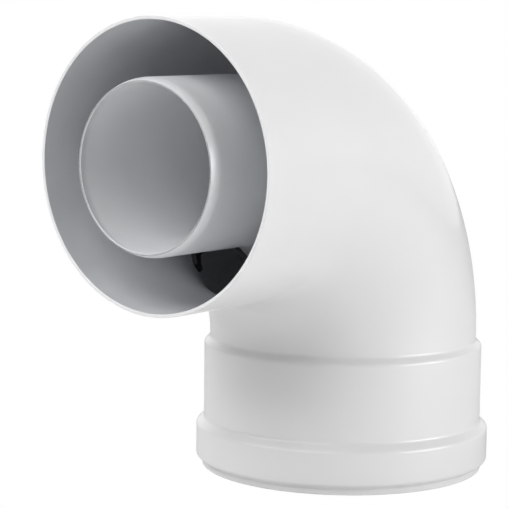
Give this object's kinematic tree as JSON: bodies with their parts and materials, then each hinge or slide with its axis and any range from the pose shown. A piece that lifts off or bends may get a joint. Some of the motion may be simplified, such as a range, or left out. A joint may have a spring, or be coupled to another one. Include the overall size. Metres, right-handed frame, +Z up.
{
  "type": "flue elbow",
  "caption": "Concentric right-angle flue elbow: a white painted air duct around a bare aluminium flue tube, with a sealed socket below and plain spigots in front.",
  "frame": {"origin": "centre of the outer socket's mouth, in the plane of its rim", "axes": "+Z up along the socket's axis into the elbow; -Y along the spigots' axis, out of the elbow; symmetric about the plane x = 0"},
  "size_m": [0.1098, 0.1687, 0.1685],
  "materials": {
    "white_paint": "gloss",
    "flue_aluminium": "satin",
    "seal_rubber": "matte",
    "spacer_plastic": "satin"
  },
  "bodies": {
    "root": {"outer_elbow": "white_paint", "inner_elbow": "flue_aluminium", "outer_seal": "seal_rubber", "inner_seal": "seal_rubber", "socket_spacer": "spacer_plastic", "spigot_spacer": "spacer_plastic"}
  },
  "joints": []
}
